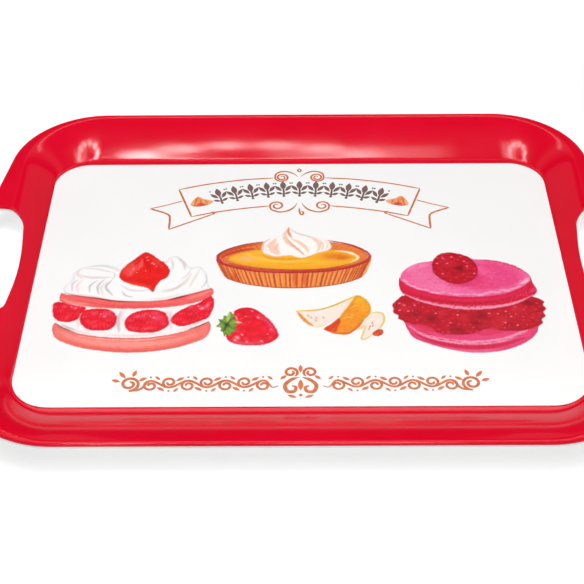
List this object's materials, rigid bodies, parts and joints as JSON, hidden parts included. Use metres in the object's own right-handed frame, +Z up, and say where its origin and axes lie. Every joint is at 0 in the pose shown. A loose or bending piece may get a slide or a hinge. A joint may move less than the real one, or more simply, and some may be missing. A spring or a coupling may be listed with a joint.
{
  "type": "serving tray",
  "caption": "Rectangular two-tone melamine serving tray with flared walls, slotted end handles and a printed white floor panel of pastry motifs.",
  "frame": {"origin": "centre of the tray's footprint, on the surface it stands on", "axes": "+X along the tray through both handles, +Y away from the user across the tray, +Z up"},
  "size_m": [0.41, 0.28, 0.0187],
  "materials": {
    "white_melamine": "glossy moulded melamine, white body layer",
    "red_melamine": "glossy moulded melamine, red top layer",
    "decor_foil": "white decor foil under a clear glaze",
    "ink_brown": "printed outline ink under glaze",
    "ink_red": "watercolour-style print under glaze",
    "ink_orange": "watercolour-style print under glaze",
    "ink_pink": "watercolour-style print under glaze"
  },
  "bodies": {
    "root": {"base_shell": "white_melamine", "top_shell": "red_melamine", "decor_foil": "decor_foil", "print_banner": "ink_brown", "print_strawberry_cake": "ink_red", "print_cream_tart": "ink_orange", "print_raspberry_macaron": "ink_pink", "print_strawberry": "ink_red", "print_fruit_slices": "ink_orange", "print_flourish": "ink_orange"}
  },
  "joints": []
}
